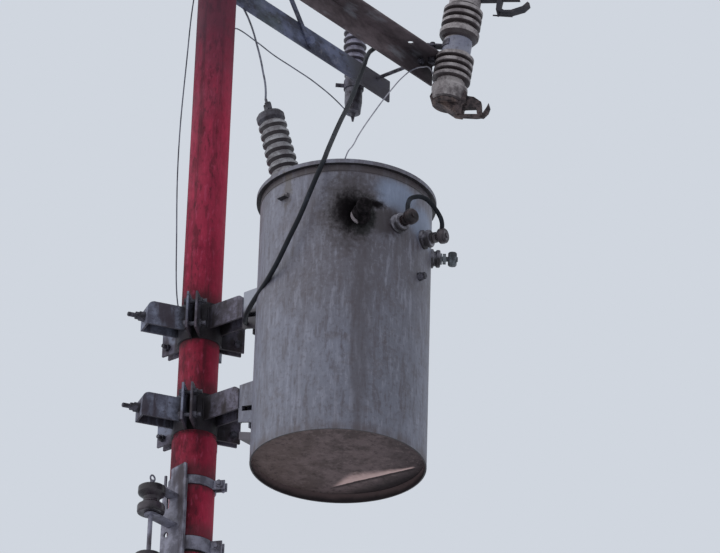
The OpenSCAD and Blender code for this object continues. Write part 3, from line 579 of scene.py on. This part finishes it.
# Warmer towards the pole's left; painted shade makes it darker away from it, and a painted shadow of the
# skirt makes it darkest by the right edge
slope = 0.64 * x - 0.77 * y - 0.408 + 0.2 * (scale - 0.5)
rusty_base.wash((100, 84, 80), slope.fade(0.02, -0.2, 0.5))
rusty_base.wash((58, 50, 54), slope.fade(0.05, 0.22, 0.5))
rusty_base.wash((50, 41, 42), crumbs.fade(0.54, 0.66, 0.55))
rusty_base.wash((112, 98, 98), crumbs.fade(0.44, 0.34, 0.4))
# Painted shadow of the skirt: darkest by the right edge
rusty_base.wash((26, 22, 25), (x + 0.05 * (scale - 0.5)).fade(0.165, 0.225, 0.8))
# A pale wedge, sharp along one side with a dark line beside it, brightest there, and fading out towards
# the other side: off_edge is the distance from the sharp side, run the way along it, and broad how wide
# the wedge is there
off_edge = 0.0821 - 0.991 * x - 0.135 * y + 0.012 * (scale - 0.5)
run = 0.135 * x - 0.991 * y - 0.42
broad = larger(0.097 - 0.35 * run, 0.004)
spread = off_edge / broad + 0.5 * (crumbs - 0.5)
ends = (run - 1.5 * off_edge).fade(-0.020, 0.022) * run.fade(0.262, 0.245)
dark_line = off_edge.fade(0.001, -0.001) * off_edge.fade(-0.014, -0.004, 0.75)
rusty_base.wash((38, 31, 33), ends * dark_line)
pale_wedge_share = larger(spread.fade(1.0, 0.1, 0.85), off_edge.fade(0.014, 0.004, 0.95))
rusty_base.wash((196, 168, 164), ends * off_edge.fade(0.0, 0.003) * pale_wedge_share)
rusty_base.paint(scale, 0.002)
dress(rusty_base, "tank_base")

# Bushings
# Grey glazed porcelain, ridged on the lid and short on the wall, with clamp terminals.
# The first low voltage bushing has burnt black.


def porcelain(name, pale, dark, under, fitting=None, collar=None):
    """Glaze that is pale on rims and walls, and brown with dirt and painted shade on every underside. A
    fitting gives the measure, its limits and the two colours of the metal that stands beyond them. A
    collar gives the heights between which the glaze is clean, and its colour there."""
    made = Finish(name, pale, 0.4, specular=0.4)
    film = made.grain(0.02, detail=7.0, rough=0.68)
    dots = made.grain(0.005, detail=4.0, shift=2.0)
    made.wash(dark, film.fade(0.40, 0.62))
    if collar:
        low, high, clean = collar
        _, _, height = place(made)
        held = height.fade(low - 0.003, low + 0.003) * height.fade(high + 0.003, high - 0.003)
        made.wash(clean, held * 0.75)
    made.wash(under, dots.fade(0.56, 0.68, 0.4))
    # Dirt and painted shade: brown on every underside
    made.wash(under, (underside(made) + 0.5 * film).fade(0.38, 0.72, 0.92))
    metallic = None
    if fitting:
        measure, limits, bright, dull = fitting
        beyond = measure(made).fade(*limits)
        made.wash(made.blend(bright, dull, film.fade(0.42, 0.60)), beyond)
        metallic = beyond * 0.3
    made.paint(film, 0.0006, roughness=film.fade(0.35, 0.65, start=0.3, end=0.65), metallic=metallic)
    return made


def up_post(degrees, out):
    """A measure of how far a point lies up the leaning axis of a bushing on the lid, whose foot
    stands at a bearing and so far out from the tank's axis."""
    lean, way = math.radians(15.6), math.radians(degrees)
    foot = (out * math.sin(way), tank_axis - out * math.cos(way), lid_height)
    axis = (math.sin(lean) * math.sin(way), -math.sin(lean) * math.cos(way), math.cos(lean))

    def measure(finish):
        x, y, height = place(finish)
        return (x - foot[0]) * axis[0] + (y - foot[1]) * axis[1] + (height - foot[2]) * axis[2]
    return measure


def off_tank(finish):
    """Distance from the tank's axis."""
    return around_tank(finish)[1]


for name, degrees, out in (("hv_bushing_left", -127, 0.161), ("hv_bushing_right", 132, 0.195)):
    cap = (up_post(degrees, out), (0.229, 0.232), (70, 68, 76), (46, 42, 48))
    dress(porcelain(name + "_glaze", (130, 129, 134), (94, 90, 95), (40, 33, 37), cap), name)
for number, bright, dull in ((2, (48, 38, 40), (22, 17, 20)), (3, (68, 62, 66), (32, 28, 32)),
                             (4, (98, 104, 110), (48, 50, 54))):
    terminal = (off_tank, (0.2655, 0.2675), bright, dull)
    dress(porcelain("porcelain_%d" % number, (116, 114, 124), (56, 52, 60), (30, 25, 29), terminal),
          "lv_bushing_%d" % number)

# Burnt black all over, but for a pale crescent that the fire left low on its foot's rim
burnt = Finish("burnt_porcelain", (12, 10, 12), 0.9, specular=0.08)
bearing, reach, height = around_tank(burnt)
ash = burnt.grain(0.008, detail=6.0)
burnt.wash((32, 28, 31), ash.fade(0.4, 0.65))
aside = (math.radians(burnt_turn) - bearing) * (0.85 * tank_radius)
low = aside + 0.55 * (burnt_height - height) + 0.012 * (ash - 0.5)
burnt.wash((124, 117, 122), low.fade(0.0185, 0.0215, 0.85) * reach.fade(0.252, 0.250))
burnt.paint(ash, 0.0008)
dress(burnt, "lv_bushing_1")

# Crossarm
# Two galvanised angles bolted across the pole. The front one has rusted brown over most
# of its length, the rear one is still blue grey under a mottle of dirt.


def from_middle(finish):
    """Distance along the crossarm from its middle, at x 0."""
    return finish.reckon("ABSOLUTE", place(finish)[0])


rusty_angle = Finish("rusty_angle", (54, 44, 48), 0.75, metallic=0.1)
crust = rusty_angle.grain(0.045, stretch=(2, 1, 1), detail=9.0, rough=0.7)
left_zinc = rusty_angle.grain(0.03, stretch=(3, 1, 1), detail=7.0, shift=7.0)
rusty_angle.wash((90, 78, 83), crust.fade(0.38, 0.62))
rusty_angle.wash((112, 112, 120), left_zinc.fade(0.54, 0.68, 0.8))
# Darkest at the ends, under the cutouts
rusty_angle.wash((24, 17, 26), (from_middle(rusty_angle) + 0.2 * crust).fade(0.80, 0.90, 0.55))
rusty_angle.paint(crust, 0.0015)
dress(rusty_angle, "crossarm_front")

mottled_angle = Finish("mottled_angle", (52, 54, 70), 0.7, metallic=0.15)
mottle = mottled_angle.grain(0.03, stretch=(2, 1, 1), detail=9.0, rough=0.7)
green = mottled_angle.grain(0.12, detail=4.0, shift=2.0)
dirty = mottled_angle.grain(0.012, stretch=(1.5, 1, 1), detail=6.0, rough=0.7, shift=5.0)
mottled_angle.wash((94, 100, 126), mottle.fade(0.40, 0.60))
mottled_angle.wash((74, 84, 78), green.fade(0.50, 0.60, 0.45))
mottled_angle.wash((46, 42, 50), dirty.fade(0.52, 0.64, 0.7))
mottled_angle.wash((128, 126, 136), dirty.fade(0.44, 0.34, 0.4))
# Browner towards the ends, where the zinc has worn off
mottled_angle.wash((52, 46, 54), (from_middle(mottled_angle) + 0.25 * mottle).fade(0.78, 0.92, 0.85))
mottled_angle.paint(mottle, 0.001)
dress(mottled_angle, "crossarm_rear", "crossarm_braces")

# Cutouts and arresters
# The cutouts stand empty: tarnished hinge and contact castings on grey porcelain, with a
# clean collar where a strap holds them. The arresters' porcelain is capped with metal.


def above_ground(finish):
    """Height above the ground."""
    return place(finish)[2]


strapped = (8.050, 8.102, (104, 108, 128))
dress(porcelain("grey_porcelain", (138, 132, 134), (96, 89, 92), (40, 31, 34), collar=strapped),
      "cutout_insulator_left", "cutout_insulator_right")
foot_cap = (above_ground, (8.096, 8.086), (78, 76, 86), (44, 40, 46))
dress(porcelain("violet_porcelain", (128, 126, 144), (88, 84, 97), (46, 40, 47), foot_cap),
      "arrester_left", "arrester_right")

casting = Finish("rusty_casting", (32, 26, 30), 0.7, metallic=0.25, specular=0.35)
pits = casting.grain(0.015, detail=8.0, rough=0.7)
casting.wash((78, 67, 68), pits.fade(0.38, 0.62))
casting.wash((116, 98, 92), casting.grain(0.04, shift=5.0).fade(0.52, 0.64, 0.6))
casting.wash((24, 20, 23), casting.grain(0.006, detail=5.0, shift=3.0).fade(0.54, 0.66, 0.8))
# The upper contact and its hook have kept their dark plating
casting.wash((44, 45, 54), above_ground(casting).fade(8.10, 8.14, 0.75))
casting.paint(pits, 0.0015)
dress(casting, "cutout_contacts_left", "cutout_contacts_right")

stained_zinc = Finish("stained_zinc", (44, 41, 48), 0.65, metallic=0.25, specular=0.35)
blooms = stained_zinc.grain(0.014, detail=8.0, rough=0.7)
stained_zinc.wash((84, 82, 94), blooms.fade(0.40, 0.62))
stained_zinc.paint(blooms, 0.001)
dress(stained_zinc, "cutout_brackets", "arrester_brackets")

# Ground, sky and light
# A pale floor at the pole's foot, a pale even background, and soft light that falls
# mostly from the left of the camera.

floor_radius, floor_height = 9.0, -0.002
edge = ring(floor_radius, floor_height, count=96)
floor_mesh = bpy.data.meshes.new("floor")
floor_mesh.from_pydata(edge.tolist(), [], [list(range(len(edge)))])
floor_mesh.materials.append(Finish("pale_floor", (206, 208, 212), 0.9).material)
floor = put("floor", floor_mesh)

sun = put("sun", bpy.data.lights.new("sun", "SUN"))
sun.data.energy = 1.25
sun.data.angle = math.radians(90)
sun.rotation_euler = (math.radians(62), 0, math.radians(-118))

world = bpy.data.worlds.new("sky")
world.use_nodes = True
bpy.context.scene.world = world
sky = world.node_tree


def either(first, second):
    """1 for a ray of either kind."""
    made = sky.nodes.new("ShaderNodeMath")
    made.operation = "MAXIMUM"
    sky.links.new(first, made.inputs[0])
    sky.links.new(second, made.inputs[1])
    return made.outputs[0]


ray = sky.nodes.new("ShaderNodeLightPath").outputs
shows = either(ray["Is Camera Ray"], either(ray["Is Glossy Ray"], ray["Is Transmission Ray"]))
lit, shown = sky.nodes["Background"], sky.nodes.new("ShaderNodeBackground")
for light, colour, strength in ((lit, (0.92, 0.96, 1.0, 1.0), 0.92), (shown, tint(208, 214, 223), 1.0)):
    light.inputs["Color"].default_value = colour
    light.inputs["Strength"].default_value = strength
choose = sky.nodes.new("ShaderNodeMixShader")
for source, socket in zip((shows, lit.outputs[0], shown.outputs[0]), choose.inputs):
    sky.links.new(source, socket)
sky.links.new(choose.outputs[0], sky.nodes["World Output"].inputs["Surface"])
bpy.context.scene.view_settings.view_transform = "Standard"
